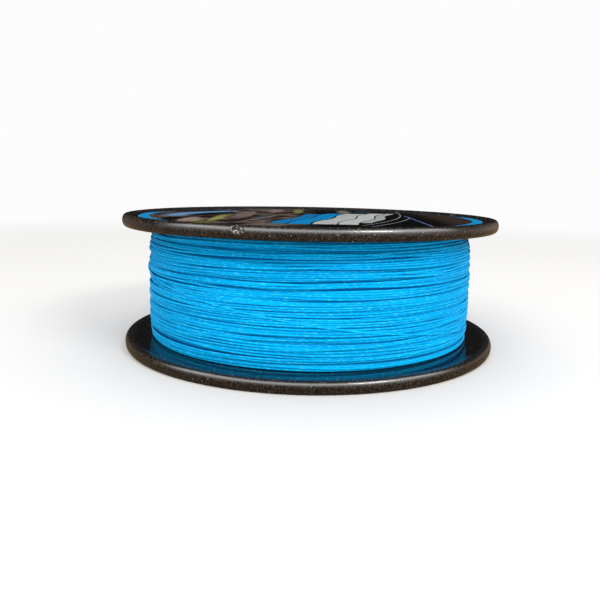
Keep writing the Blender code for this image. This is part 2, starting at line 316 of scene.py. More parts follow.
def moulded_black_styrene():
    """Black styrene from a polished mould.

    The eye gets a deep warm black with a clear gloss, grey grains of dust, a browner and duller
    bead where it was handled, and a whitened scar. Wear is drawn coarser than it is, so that it shows."""
    material, tree, shader = new_material("moulded_black_styrene")
    place = node(tree, "ShaderNodeTexCoord").outputs["Object"]
    cloud = {"Vector": place, "Scale": 1 / CLOUD_SIZE, "Detail": 3.0}
    cloud = node(tree, "ShaderNodeTexNoise", cloud).outputs[0]
    wear = handled_wear(tree, place)
    dust = settled_dust(tree, place)
    whitened = whitened_scar(tree, place)
    colour = blend_colour(tree, cloud, linear("#030303"), linear("#070605"))
    colour = blend_colour(tree, wear, colour, linear("#3d342c"))
    colour = blend_colour(tree, dust, colour, linear("#928b80"))
    colour = blend_colour(tree, whitened, colour, linear("#96918a"))

    rub = {"Vector": place, "Scale": 1 / RUB_SIZE, "Detail": 5.0, "Roughness": 0.7}
    rubbed = node(tree, "ShaderNodeTexNoise", rub).outputs[0]
    roughness = node(tree, "ShaderNodeMapRange", {0: rubbed, 1: 0.35, 2: 0.7, 3: 0.10, 4: 0.20}).outputs[0]
    marked = maths(tree, "MAXIMUM", maths(tree, "MAXIMUM", dust, wear), whitened)
    roughness = maths(tree, "ADD", roughness, maths(tree, "MULTIPLY", marked, DULLING))
    fine = {"Vector": place, "Scale": 1 / SKIN_GRAIN, "Detail": 2.0}
    fine = node(tree, "ShaderNodeTexNoise", fine).outputs[0]
    skin = {"Strength": 0.12, "Distance": SKIN_RELIEF, "Height": fine}
    skin = node(tree, "ShaderNodeBump", skin).outputs[0]

    tree.links.new(colour, shader.inputs["Base Color"])
    tree.links.new(roughness, shader.inputs["Roughness"])
    tree.links.new(skin, shader.inputs["Normal"])
    shader.inputs["IOR"].default_value = 1.55
    return material


# ---------------------------------------------------------------- flanges

FLANGE_FACETS = 288
BEAD_STEPS = 20
SHOULDER_STEPS = 10
PEG_HOLE_FACETS = 24
SLIT_STEPS = 12
GATE_CUTS = 7
EDGE = 0.08 * MM  # small bevel on the recess's edge
CUT_MARGIN = 1.0 * MM


def ogee(start, stop, steps):
    """Points after the first of a smooth step from start to stop, level at both ends."""
    points = []
    for step in range(1, steps + 1):
        share = step / steps
        eased = (1 - math.cos(math.pi * share)) / 2
        radius = start[0] + (stop[0] - start[0]) * share
        height = start[1] + (stop[1] - start[1]) * eased
        points.append((radius, height))
    return points


def flange_outline():
    """Half section of a flange whose outer side faces down at height zero."""
    centre = RIM_RADIUS - BEAD_WIDTH / 2
    land_in = centre - BEAD_LAND / 2
    land_out = centre + BEAD_LAND / 2
    side = (BEAD_WIDTH - BEAD_LAND) / 2
    middle = BEAD_HEIGHT / 2
    recess = LABEL_RADIUS + GAP
    outline = [
        (BORE_RADIUS, RECESS_FLOOR),
        (DRUM_INSIDE, RECESS_FLOOR),
        (recess - EDGE, RECESS_FLOOR),
        (recess, RECESS_FLOOR - EDGE),
        (recess, LABEL_INSET + EDGE),
        (recess + EDGE, LABEL_INSET),
        (BEAD_INNER, LABEL_INSET),
    ]
    outline += ogee((BEAD_INNER, LABEL_INSET), (land_in, 0.0), SHOULDER_STEPS)
    outline.append((land_out, 0.0))
    outline += arc((land_out, middle), (side, middle), -QUARTER_TURN, QUARTER_TURN, BEAD_STEPS)
    outline.append((land_in, BEAD_HEIGHT))
    outline += ogee((land_in, BEAD_HEIGHT), (BEAD_INNER, PLATE_INNER), SHOULDER_STEPS)
    outline += [
        (DRUM_RADIUS + GAP, PLATE_INNER),
        (DRUM_RADIUS + GAP, SEAT_FLOOR),
        (DRUM_INSIDE - GAP, SEAT_FLOOR),
        (DRUM_INSIDE - GAP, PLATE_INNER),
        (HUB_RADIUS + GAP, PLATE_INNER),
        (HUB_RADIUS + GAP, SEAT_FLOOR),
        (BORE_RADIUS, SEAT_FLOOR),
    ]
    return outline


def peg_hole_cutters():
    """Stepped holes for the staked pegs, through both flanges."""
    head = PEG_RADIUS + HEAD_OVERHANG + GAP
    shank = PEG_RADIUS + GAP
    outline = [
        (0.0, -CUT_MARGIN),
        (head, -CUT_MARGIN),
        (head, COUNTERBORE_FLOOR),
        (shank, COUNTERBORE_FLOOR),
        (shank, SPOOL_HEIGHT - COUNTERBORE_FLOOR),
        (head, SPOOL_HEIGHT - COUNTERBORE_FLOOR),
        (head, SPOOL_HEIGHT + CUT_MARGIN),
        (0.0, SPOOL_HEIGHT + CUT_MARGIN),
    ]
    cutters = []
    for index in range(PEG_COUNT):
        bm = bmesh.new()
        turn(bm, outline, PEG_HOLE_FACETS, closed=False)
        turned = Matrix.Rotation(FULL_TURN * index / PEG_COUNT, 4, "Z")
        bmesh.ops.translate(bm, verts=bm.verts[:], vec=turned @ Vector((PEG_CIRCLE, 0.0, 0.0)))
        cutters.append(finished("peg_hole", bm, None))
    return cutters


def slit_cutter():
    """The line slit: a round root, straight sides and a flared mouth."""
    half = SLIT_WIDTH / 2
    root = RIM_RADIUS - SLIT_DEPTH + half
    mouth = RIM_RADIUS - SLIT_FLARE
    beyond = RIM_RADIUS + CUT_MARGIN
    flared = half + SLIT_FLARE + CUT_MARGIN
    outline = [(beyond, flared), (mouth, half), (root, half)]
    outline += arc((root, 0.0), (half, half), QUARTER_TURN, 3 * QUARTER_TURN, SLIT_STEPS)
    outline += [(mouth, -half), (beyond, -flared)]
    bm = bmesh.new()
    low = SPOOL_HEIGHT - BEAD_HEIGHT - CUT_MARGIN
    face = bm.faces.new([bm.verts.new((x, y, low)) for x, y in outline])
    raised = bmesh.ops.extrude_face_region(bm, geom=[face])["geom"]
    top = [item for item in raised if isinstance(item, bmesh.types.BMVert)]
    bmesh.ops.translate(bm, verts=top, vec=(0.0, 0.0, BEAD_HEIGHT + 2 * CUT_MARGIN))
    turned = Matrix.Rotation(SLIT_AZIMUTH, 4, "Z")
    bmesh.ops.transform(bm, matrix=turned, verts=bm.verts[:])
    return finished("slit", bm, None)


def gate_scar_cutter():
    """The ragged notch left on the upper bead where the moulding's gate was snapped off."""
    chance = np.random.default_rng(3)
    size = Vector((GATE_THICKNESS, GATE_WIDTH, GATE_THICKNESS))
    bm = bmesh.new()
    bmesh.ops.create_cube(bm, size=1.0)
    bmesh.ops.scale(bm, verts=bm.verts[:], vec=size)
    bmesh.ops.subdivide_edges(bm, edges=bm.edges[:], cuts=GATE_CUTS, use_grid_fill=True)
    for vert in bm.verts:
        vert.co += Vector(chance.normal(0.0, GATE_RAGGED, 3))
    bmesh.ops.rotate(bm, verts=bm.verts[:], matrix=Matrix.Rotation(-QUARTER_TURN / 2, 3, "Y"))
    bmesh.ops.translate(bm, verts=bm.verts[:], vec=GATE_PLACE)
    bmesh.ops.rotate(bm, verts=bm.verts[:], matrix=Matrix.Rotation(GATE_AZIMUTH, 3, "Z"))
    return finished("gate_scar", bm, None)


def make_flange(name, cad_node, material, upper, cutters):
    """A turned flange with its holes cut. The upper one is the same outline turned over."""
    bm = bmesh.new()
    outline = flange_outline()
    if upper:
        outline = [(radius, SPOOL_HEIGHT - height) for radius, height in outline]
    turn(bm, outline, FLANGE_FACETS)
    flange = finished(name, bm, material)
    cut(flange, cutters)
    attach(flange, "root")
    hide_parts(cad_node)


# ---------------------------------------------------------------- braided line

BRAID_PICK = 0.75 * MM  # one over-and-under of the braid, drawn about twice as long so that it shows
BRAID_RELIEF = 0.04 * MM
FLUFF_SIZE = 0.111 * MM
FLUFF_SHARE = 0.35
DYE_RATE = 0.045  # changes of the dye in each millimetre of line, about one in 22 mm
# Painted glints on the braid: how many pale specks in each millimetre of line and round it.
GLINTS_ALONG = 0.9  # flecks in each millimetre of line
GLINTS_AROUND = 6.0
# Off this side of each turn, the colour goes to the painted shade of its flanks.
CREST = 0.92  # share of a turn round the line where it faces outwards and a little up


def braid_picks(tree, along, around):
    """The height of the crossing strands: two sets of ridges that lean opposite ways round the line."""
    lengths = maths(tree, "MULTIPLY", along, math.pi * MM / BRAID_PICK)
    leaning = maths(tree, "MULTIPLY", around, 2 * FULL_TURN)
    one_way = maths(tree, "ABSOLUTE", maths(tree, "SINE", maths(tree, "ADD", lengths, leaning)))
    other_way = maths(tree, "ABSOLUTE", maths(tree, "SINE", maths(tree, "SUBTRACT", lengths, leaning)))
    return maths(tree, "MULTIPLY", one_way, other_way)


def painted_filament_glints(tree, along, around):
    """Painted glints: pale specks along the line where loose filaments would catch the light, drawn coarser
    than they are so that they show.
    """
    strewn_along = maths(tree, "MULTIPLY", along, GLINTS_ALONG)
    strewn_around = maths(tree, "MULTIPLY", around, GLINTS_AROUND)
    strewn = node(tree, "ShaderNodeCombineXYZ", {0: strewn_along, 1: strewn_around}).outputs[0]
    glint_mask = {"Vector": strewn, "Scale": 1.0, "Detail": 2.0}
    glint_mask = node(tree, "ShaderNodeTexNoise", glint_mask, noise_dimensions="2D").outputs[0]
    return node(tree, "ShaderNodeMapRange", {0: glint_mask, 1: 0.54, 2: 0.76, 4: 0.6}).outputs[0]


def braided_polyethylene(name, painted_flank_shade, deep, pale, lit):
    """Eight-strand polyethylene braid, dyed bright blue.

    The eye gets a silky, even blue with small raised picks painted paler as a painted highlight, pale specks
    painted as glints of loose filaments, and painted shade down each turn's flanks, away from its outward
    side."""
    material, tree, shader = new_material(name)
    # The UV map holds the millimetres of line in U and the share of a turn round it in V.
    uv = node(tree, "ShaderNodeUVMap", uv_map="UVMap").outputs[0]
    split = node(tree, "ShaderNodeSeparateXYZ", {0: uv})
    along, around = split.outputs[0], split.outputs[1]
    place = node(tree, "ShaderNodeTexCoord").outputs["Object"]
    picks = braid_picks(tree, along, around)

    dye = {"W": along, "Scale": DYE_RATE, "Detail": 2.0}
    dye = node(tree, "ShaderNodeTexNoise", dye, noise_dimensions="1D").outputs[0]
    dyed = node(tree, "ShaderNodeMapRange", {0: dye, 1: 0.3, 2: 0.7}).outputs[0]
    colour = blend_colour(tree, dyed, linear(deep), linear(pale))
    # Painted highlight: the raised picks are coloured paler, as if they caught the light.
    colour = blend_colour(tree, maths(tree, "MULTIPLY", picks, 0.5), colour, linear(lit))
    # Painted glints: pale specks along the line.
    colour = blend_colour(tree, painted_filament_glints(tree, along, around), colour, linear("#42d0fa"))
    # Painted shade: down each turn's flanks, away from the side that faces outwards and a little up, the
    # colour goes darker.
    off_crest = maths(tree, "MULTIPLY", maths(tree, "SUBTRACT", around, CREST), FULL_TURN)
    facing = maths(tree, "COSINE", off_crest)
    crest = node(tree, "ShaderNodeMapRange", {0: facing, 1: 0.0, 2: 0.85}).outputs[0]
    colour = blend_colour(tree, crest, linear(painted_flank_shade), colour)

    fluff = {"Vector": place, "Scale": 1 / FLUFF_SIZE, "Detail": 1.0}
    fluff = node(tree, "ShaderNodeTexNoise", fluff).outputs[0]
    height = maths(tree, "ADD", picks, maths(tree, "MULTIPLY", fluff, FLUFF_SHARE))
    relief = {"Strength": 0.6, "Distance": BRAID_RELIEF, "Height": height}
    relief = node(tree, "ShaderNodeBump", relief).outputs[0]

    tree.links.new(colour, shader.inputs["Base Color"])
    tree.links.new(relief, shader.inputs["Normal"])
    shader.inputs["Roughness"].default_value = 0.42
    shader.inputs["IOR"].default_value = 1.51
    shader.inputs["Specular IOR Level"].default_value = 0.04
    shader.inputs["Specular Tint"].default_value = linear("#7fd4ff")
    return material


TUBE_RESOLUTION = 2
TAIL_BEND_STEPS = 3
ROUTE_SPACING = 2.5 * LINE_DIAMETER

HALF_LINE = LINE_DIAMETER / 2
LAY_COLUMNS = 180  # stations round the spool
LAY_STEP = 0.05 * MM  # stations across the spool
LAY_PIECES = 3
TURNS_IN_PIECE = 50
LAY_TURNS = LAY_PIECES * TURNS_IN_PIECE
LAY_STATIONS = LAY_TURNS * LAY_COLUMNS
LAY_LOW = PLATE_INNER + HALF_LINE + 0.05 * MM
LAY_HIGH = SPOOL_HEIGHT - LAY_LOW
LAY_SEED = 7

GUIDE_LEAD = 2.2 * MM  # traverse of the line in one turn
GUIDE_DWELL = 1.3 * MM  # extra travel at each end, in which the line lies against the flange
GUIDE_UNEVEN = 0.35  # spread of the guide's speed about its mean
GUIDE_SPEEDS = (0.35, 1.9)  # its least and most speed, as shares of the mean
GUIDE_EASE = 0.8 * LAY_COLUMNS  # stations over which its speed changes
WANDER = 0.35 * MM
WANDERS_IN_TURN = 4
WANDER_EASE = 0.09 * LAY_COLUMNS

SLIDES = np.arange(-6, 7)  # how far a turn may slide sideways into a hollow, in stations across
SLIDE_UNIT = 3.0
SLIDE_COST = 0.012  # millimetres of seat height that a slide of one unit is worth
STEER_COST = 0.10  # and a change of one step of slide from station to station
SLIDE_EASE = 3.0
SEAT_EASE = 2.5
SEAM_REACH = 8
LAY_SINK = 0.10 * MM  # how far a taut turn presses into those below

PACK_GROUND = WINDING_RADIUS - 1.32 * MM
PACK_COVER = 0.85 * MM  # depth of the separate turns over the closed body of the pack
PACK_CROWN = 1.4 * MM  # how much less the pack's radius is at its top
PACK_FOOT = 0.45 * MM  # and at its foot
CROWN_DEPTH = 8.0 * MM
PACK_LEVELLING = 0.75  # share of a turn's unevenness that the tension leaves
PACK_PROUD = 0.18 * MM  # the most that a turn stands out of the levelled pack
PACK_SMOOTHING = 6.0
PACK_LEVELS = 40

GROUND_ROWS = round((SPOOL_HEIGHT - 2 * PLATE_INNER) / LAY_STEP) + 1
LINE_REACH = round(HALF_LINE / LAY_STEP)
LINE_ROWS = np.arange(-LINE_REACH, LINE_REACH + 1)
LINE_CROWN = np.sqrt(np.maximum(HALF_LINE ** 2 - (LINE_ROWS * LAY_STEP) ** 2, 0.0))


def tail_route():
    """The tail's path: along the pack, straight to the slit, and up into it."""
    start_radius = WINDING_RADIUS + GAP + LINE_DIAMETER / 2
    slit_radius = RIM_RADIUS - BEAD_WIDTH / 2
    lead = math.acos(start_radius / slit_radius)
    leaves = SLIT_AZIMUTH + lead
    wrap_length = TAIL_WRAP * start_radius
    run_length = slit_radius * math.sin(lead)
    top = SPOOL_HEIGHT - TAIL_END
    knee = SPOOL_HEIGHT - BEAD_HEIGHT - TAIL_BEND

    points = []
    along = wrap_length + run_length - TAIL_BEND
    count = round(along / ROUTE_SPACING)
    away = Vector((math.sin(leaves), -math.cos(leaves), 0.0))
    departs = Vector((math.cos(leaves), math.sin(leaves), 0.0)) * start_radius
    for index in range(count + 1):
        travelled = along * index / count
        share = travelled / along
        height = knee - TAIL_CLIMB * (1.0 - share * share)
        if travelled < wrap_length:
            azimuth = leaves + (wrap_length - travelled) / start_radius
            place = Vector((math.cos(azimuth), math.sin(azimuth), 0.0)) * start_radius
        else:
            place = departs + away * (travelled - wrap_length)
        points.append((place.x, place.y, height))

    corner = departs + away * (run_length - TAIL_BEND)
    for forward, up in arc((0.0, TAIL_BEND), (TAIL_BEND, TAIL_BEND), -QUARTER_TURN, 0.0, TAIL_BEND_STEPS):
        place = corner + away * forward
        points.append((place.x, place.y, knee + up))
    rise = top - knee - TAIL_BEND
    count = round(rise / ROUTE_SPACING)
    for index in range(1, count + 1):
        place = corner + away * TAIL_BEND
        points.append((place.x, place.y, knee + TAIL_BEND + rise * index / count))
    return np.array(points)


def route_length(path):
    """The length of a path, in metres."""
    return float(np.linalg.norm(np.diff(path, axis=0), axis=1).sum())


def line_piece(name, path, material):
    """A round line along a path. Its UV map counts millimetres of line in U."""
    curve = bpy.data.curves.new(name, "CURVE")
    curve.dimensions = "3D"
    curve.twist_mode = "Z_UP"
    curve.bevel_depth = LINE_DIAMETER / 2
    curve.bevel_resolution = TUBE_RESOLUTION
    curve.use_fill_caps = True
    spline = curve.splines.new("POLY")
    spline.points.add(len(path) - 1)
    spline.points.foreach_set("co", np.column_stack([path, np.ones(len(path))]).ravel())
    guide = bpy.data.objects.new(name, curve)
    bpy.context.scene.collection.objects.link(guide)
    graph = bpy.context.evaluated_depsgraph_get()
    mesh = bpy.data.meshes.new_from_object(guide.evaluated_get(graph))
    bpy.data.objects.remove(guide, do_unlink=True)

    layer = mesh.uv_layers["UVMap"].data
    uv = np.empty(2 * len(layer))
    layer.foreach_get("uv", uv)
    uv[0::2] *= route_length(path) / MM
    layer.foreach_set("uv", uv)

    bm = bmesh.new()
    bm.from_mesh(mesh)
    bmesh.ops.remove_doubles(bm, verts=bm.verts[:], dist=MERGE_DISTANCE)
    if bm.calc_volume(signed=True) < 0.0:
        bmesh.ops.reverse_faces(bm, faces=bm.faces[:])
    bm.to_mesh(mesh)
    bm.free()
    mesh.shade_smooth()
    mesh.materials.clear()
    mesh.materials.append(material)
    piece = bpy.data.objects.new(name, mesh)
    bpy.context.scene.collection.objects.link(piece)
    return piece


def smooth_round(values, width):
    """Averages values along a turn with a bell of that width, in stations, holding both ends."""
    reach = int(3 * width)
    bell = np.exp(-0.5 * (np.arange(-reach, reach + 1) / width) ** 2)
    padded = np.pad(values, reach, mode="edge")
    return np.convolve(padded, bell / bell.sum(), mode="valid")


def pack_radius(levels):
    """The levelled pack's radius by height: it falls away a little towards both flanges."""
    near_top = np.clip(1.0 - (LAY_HIGH - levels) / CROWN_DEPTH, 0.0, 1.0)
    near_foot = np.clip(1.0 - (levels - LAY_LOW) / CROWN_DEPTH, 0.0, 1.0)
    return WINDING_RADIUS - PACK_CROWN * near_top ** 2 - PACK_FOOT * near_foot ** 2


def guide_heights(chance):
    """The height at which the guide holds the line, station by station, as it goes to and fro."""
    turn_speeds = chance.standard_normal(LAY_TURNS + 1)
    speed = 1.0 + GUIDE_UNEVEN * np.repeat(turn_speeds, LAY_COLUMNS)[:LAY_STATIONS]
    speed = np.clip(smooth_round(speed, GUIDE_EASE), *GUIDE_SPEEDS)
    travel = np.cumsum(speed) * GUIDE_LEAD / LAY_COLUMNS
    span = LAY_HIGH - LAY_LOW
    stroke = span + 2 * GUIDE_DWELL
    phase = np.mod(travel, 2 * stroke)
    swing = np.minimum(phase, 2 * stroke - phase)
    heights = LAY_LOW + np.clip(swing - GUIDE_DWELL, 0.0, span)
    wander = chance.standard_normal(WANDERS_IN_TURN * LAY_TURNS + 1)
    wander = np.repeat(wander, LAY_COLUMNS // WANDERS_IN_TURN)[:LAY_STATIONS]
    wander = smooth_round(wander, WANDER_EASE)
    return np.clip(heights + WANDER * wander, LAY_LOW, LAY_HIGH)


def rows_under(height, slide=0):
    """The rows of the ground that the line covers at each station of a turn."""
    middle = np.round((height - PLATE_INNER) / LAY_STEP).astype(int)
    return np.clip(middle[:, None] + slide + LINE_ROWS[None, :], 0, GROUND_ROWS - 1)


def easiest_slides(seats):
    """The slide at each station that gives low seats, small slides and few changes of slide."""
    cost = seats / MM + SLIDE_COST * (SLIDES[:, None] / SLIDE_UNIT) ** 2
    steer = STEER_COST * (SLIDES[:, None] - SLIDES[None, :]) ** 2
    best = np.empty((LAY_COLUMNS, len(SLIDES)), int)
    sums = cost[:, 0].copy()
    for column in range(1, LAY_COLUMNS):
        routes = sums[None, :] + steer
        best[column] = routes.argmin(1)
        sums = routes.min(1) + cost[:, column]
    chosen = np.empty(LAY_COLUMNS, int)
    chosen[-1] = sums.argmin()
    for column in range(LAY_COLUMNS - 1, 0, -1):
        chosen[column - 1] = best[column, chosen[column]]
    return SLIDES[chosen]


def seat_turn(ground, wanted, hold, held_radius):
    """Lays one turn on the ground and raises the ground under it. Returns its radii and heights.

    Where hold is one, the turn stays at the height that is wanted and at the held radius."""
    columns = np.arange(LAY_COLUMNS)[:, None]
    seats = np.empty((len(SLIDES), LAY_COLUMNS))
    for which, slide in enumerate(SLIDES):
        seats[which] = (ground[columns, rows_under(wanted, slide)] + LINE_CROWN).max(1)
    slid = smooth_round(easiest_slides(seats) * LAY_STEP, SLIDE_EASE) * (1 - hold)
    placed = np.clip(wanted + slid, LAY_LOW, LAY_HIGH)
    rows = rows_under(placed)
    under = ground[columns, rows]
    seat = smooth_round((under + LINE_CROWN).max(1) - LAY_SINK, SEAT_EASE)
    seat = seat * (1 - hold ** 4) + held_radius * hold ** 4
    ground[columns, rows] = np.maximum(under, seat[:, None] + LINE_CROWN)
    return seat, placed


def ease_seams(values):
    """Each turn was seated alone, so the step from one turn's end to the next one's start is eased."""
    share = np.linspace(0.0, 1.0, 2 * SEAM_REACH)
    keep = np.abs(2 * share - 1) ** 2
    for seam in range(LAY_COLUMNS, LAY_STATIONS, LAY_COLUMNS):
        near = slice(seam - SEAM_REACH, seam + SEAM_REACH)
        start, stop = values[near][0], values[near][-1]
        straight = start + (stop - start) * share
        values[near] = values[near] * keep + straight * (1 - keep)


def level_pack(ground, radius, height, tail_radius):
    """Presses the pack into its crowned outline, as the line's tension does. The end meets the tail."""
    outline = smooth_round(ground.mean(0), PACK_SMOOTHING)
    levels = PLATE_INNER + np.arange(GROUND_ROWS) * LAY_STEP
    proud = PACK_LEVELLING * (radius + HALF_LINE - np.interp(height, levels, outline))
    proud = np.where(proud > 0.0, PACK_PROUD * np.tanh(proud / PACK_PROUD), proud)
    levelled = pack_radius(height) - HALF_LINE + proud
    last = LAY_COLUMNS // 2
    meeting = np.linspace(0.0, 1.0, last)
    levelled[-last:] = levelled[-last:] * (1 - meeting) + tail_radius * meeting
    return levelled


def lay_line(last_point):
    """The wound line's centre, turn by turn, as each turn finds its seat on those under it.

    The ground is a map of the pack's radius. Each turn slides a little sideways into the
    hollow below it, rests on what it touches, and raises the ground for the next."""
    tail_azimuth = math.atan2(last_point[1], last_point[0])
    tail_radius = math.hypot(last_point[0], last_point[1])
    share = np.linspace(0.0, 1.0, LAY_COLUMNS)
    ease = share * share * (3 - 2 * share)
    free = np.zeros(LAY_COLUMNS)

    # The last turn comes round to where the tail starts.
    guide = guide_heights(np.random.default_rng(LAY_SEED))
    guide[-LAY_COLUMNS:] = guide[-LAY_COLUMNS:] * (1 - ease) + last_point[2] * ease

    ground = np.full((LAY_COLUMNS, GROUND_ROWS), PACK_GROUND)
    radius = np.empty(LAY_STATIONS)
    height = np.empty(LAY_STATIONS)
    for index in range(LAY_TURNS):
        here = slice(index * LAY_COLUMNS, (index + 1) * LAY_COLUMNS)
        hold = ease if index == LAY_TURNS - 1 else free
        radius[here], height[here] = seat_turn(ground, guide[here], hold, tail_radius)
    ease_seams(radius)
    ease_seams(height)

    radius = level_pack(ground, radius, height, tail_radius)
    azimuth = tail_azimuth + FULL_TURN * (LAY_STATIONS - 1 - np.arange(LAY_STATIONS)) / LAY_COLUMNS
    return np.column_stack([radius * np.cos(azimuth), radius * np.sin(azimuth), height])


def make_tail(material):
    """The loose end, from the last turn to the slit in the upper flange."""
    route = tail_route()
    tail = line_piece("line_tail_braid", route, material)
    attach(tail, "root")
    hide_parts("line_tail")
    return route


def make_winding(material, under, last_point):
    """The outer layers as real turns of line, over the closed body of the layers below, which is in a darker
    copy of the braid as painted shade.
    """
    path = lay_line(last_point)
    per_piece = TURNS_IN_PIECE * LAY_COLUMNS
    for index in range(LAY_PIECES):
        start = index * per_piece
        piece = line_piece(f"line_turns_{index + 1}", path[start:start + per_piece + 1], material)
        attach(piece, "root")
        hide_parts("line_winding")

    low, high = WINDING
    inside = DRUM_RADIUS + 2 * GAP
    levels = np.linspace(low.z, high.z, PACK_LEVELS)
    outline = [(inside, low.z), *zip(pack_radius(levels) - PACK_COVER, levels), (inside, high.z)]
    bm = bmesh.new()
    turn(bm, outline, FLANGE_FACETS)
    # The closed body takes the darker copy of the braid: painted shade where it shows between the outer
    # turns.
    pack = finished("line_pack_below", bm, under)
    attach(pack, "root")
    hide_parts("line_winding")


# ---------------------------------------------------------------- labels

LABEL_EDGE = 0.05 * MM

# The print is laid out in millimetres from the label's centre, +X to the right and +Y to the far side.
FINE_EDGE = 0.05
INK_EDGE = 0.08
RIBBON_END = 0.3
MOTTLE_SIZE = 10.0
TEAR_SIZE = 3.125
CHIP_SIZE = 2.857
SCUFF_SIZE = 2.0
BARE_GROUND = "#060506"
MOTTLE = [
    (0.0, "#060507"),
    (0.42, "#14100f"),
    (0.50, "#4a3d38"),
    (0.56, "#7d6b60"),
    (0.60, "#3a3530"),
    (0.65, "#70762c"),
    (0.72, "#2a3a34"),
]
MOTTLE_ENDS = (2.0, -6.0)
RIGHT_ZONE = (31.0, 37.0)

# Soft torn patches: centre, half width, half length, colour.
PATCHES = [
    (-29.0, 10.0, 6.0, 20.0, "#050608"),
    (-32.0, -20.0, 5.0, 9.0, "#060507"),
    (-29.0, -22.0, 3.0, 8.0, "#a08c82"),
    (-23.5, -14.0, 1.6, 12.0, "#9a9a58"),
    (-18.5, 5.0, 2.6, 20.0, "#7d6a66"),
    (-11.0, 28.0, 2.5, 12.0, "#8a7476"),
    (-4.0, 28.0, 1.6, 14.0, "#84864e"),
    (-12.5, -10.0, 2.4, 16.0, "#4a4548"),
    (-9.0, -34.0, 4.0, 6.0, "#6b6258"),
    (10.5, 26.0, 2.2, 12.0, "#76786a"),
    (17.0, 26.0, 3.0, 10.0, "#22343c"),
]
TEAR_DEPTH = 2.4

# Leaning wavy ribbons: left and right edge, near and far end, colour.
WAVE_SHEAR = 0.22
WAVE_LENGTH = 30.0
WAVE_SWAY = 0.7
WAVE_FOOT = -31.0
WAVES = [
    (-9.5, -5.6, -31.0, 11.0, "#0a7dbc"),
    (-5.2, -0.3, -32.0, 16.0, "#0b8ccc"),
    (0.3, 5.8, -31.0, 17.0, "#bfc3c3"),
    (6.2, 10.8, -31.0, 21.0, "#c9ccc8"),
    (11.2, 13.8, -24.0, 22.0, "#b0b5b5"),
]

# Thin arcs: radius, half width, near and far end, colour.
ARC_CENTRE = (-103.7, 30.2)
ARCS = [(131.6, 0.22, -33.0, 35.0, "#8d8a86"), (134.6, 0.22, -36.0, 2.0, "#7d8b99")]

TICK_X, TICK_LOW, TICK_HIGH = -16.2, -25.5, 0.6
TICK_SLANT = 0.253  # sideways for each millimetre along
TICK_PITCH = 2.0
TICK_HALF = 0.25
RULE_X, RULE_Y = (27.4, 27.9), (-35.0, 11.0)

STREAK_CENTRE = (0.4, -7.9)
STREAK_RADII, STREAK_X, STREAK_Y = (34.6, 39.6), (-40.0, -24.0), (-9.0, 25.0)
STREAK_EDGE = 1.6
STREAK_ENDS = (2.5, 2.0)
RING_RADII = (43.4, 45.9)
RING_TURNS_DARK = (12.0, 4.0)
CUT_EDGE = 0.12  # the label's white core shows this far in
CHIP_FREE = 0.56  # above it the noise counts as a chip


def in_box(tree, x, y, across, along, soft_x, soft_y):
    """One inside a rectangle of the print."""
    return maths(tree, "MULTIPLY", band(tree, x, *across, soft_x), band(tree, y, *along, soft_y))


def print_mottle(tree, x, flat):
    """A mottled ground on the left, plain dark in the middle, and a brown zone on the right."""
    cloud = {"Vector": flat, "Scale": 1 / MOTTLE_SIZE, "Detail": 5.0}
    cloud = node(tree, "ShaderNodeTexNoise", cloud).outputs[0]
    mottle = ramp_of(tree, cloud, [(at, linear(code)) for at, code in MOTTLE])
    left = {0: x, 1: MOTTLE_ENDS[0], 2: MOTTLE_ENDS[1]}
    left = node(tree, "ShaderNodeMapRange", left).outputs[0]
    colour = blend_colour(tree, left, linear(BARE_GROUND), mottle)
    right = {0: x, 1: RIGHT_ZONE[0], 2: RIGHT_ZONE[1], 4: 0.7}
    right = node(tree, "ShaderNodeMapRange", right).outputs[0]
    return blend_colour(tree, right, colour, linear("#46352d"))


def print_patches(tree, flat, colour):
    """Soft patches with torn edges."""
    tear = {"Vector": flat, "Scale": 1 / TEAR_SIZE, "Detail": 5.0, "Roughness": 0.7}
    ragged = node(tree, "ShaderNodeTexNoise", tear).outputs[0]
    ragged = maths(tree, "MULTIPLY", maths(tree, "SUBTRACT", ragged, 0.5), TEAR_DEPTH)
    for patch_x, patch_y, half_x, half_y, code in PATCHES:
        offset = {0: flat, 1: (patch_x, patch_y, 0.0)}
        offset = node(tree, "ShaderNodeVectorMath", offset, operation="SUBTRACT").outputs[0]
        offset = {0: offset, 1: (1 / half_x, 1 / half_y, 1.0)}
        offset = node(tree, "ShaderNodeVectorMath", offset, operation="MULTIPLY").outputs[0]
        spread = node(tree, "ShaderNodeVectorMath", {0: offset}, operation="LENGTH").outputs["Value"]
        torn = maths(tree, "ADD", spread, ragged)
        patch = node(tree, "ShaderNodeMapRange", {0: torn, 1: 1.1, 2: 0.7}).outputs[0]
        colour = blend_colour(tree, patch, colour, linear(code))
    return colour


def print_waves(tree, x, y, colour):
    """The blue and white ribbons across the middle."""
    sway = maths(tree, "SINE", maths(tree, "MULTIPLY", y, FULL_TURN / WAVE_LENGTH))
    sway = maths(tree, "MULTIPLY", sway, WAVE_SWAY)
    slant = maths(tree, "MULTIPLY", maths(tree, "SUBTRACT", y, WAVE_FOOT), WAVE_SHEAR)
    across = maths(tree, "ADD", maths(tree, "SUBTRACT", x, slant), sway)
    for left, right, near, far, code in WAVES:
        ribbon = in_box(tree, across, y, (left, right), (near, far), INK_EDGE, RIBBON_END)
        colour = blend_colour(tree, ribbon, colour, linear(code))
    return colour


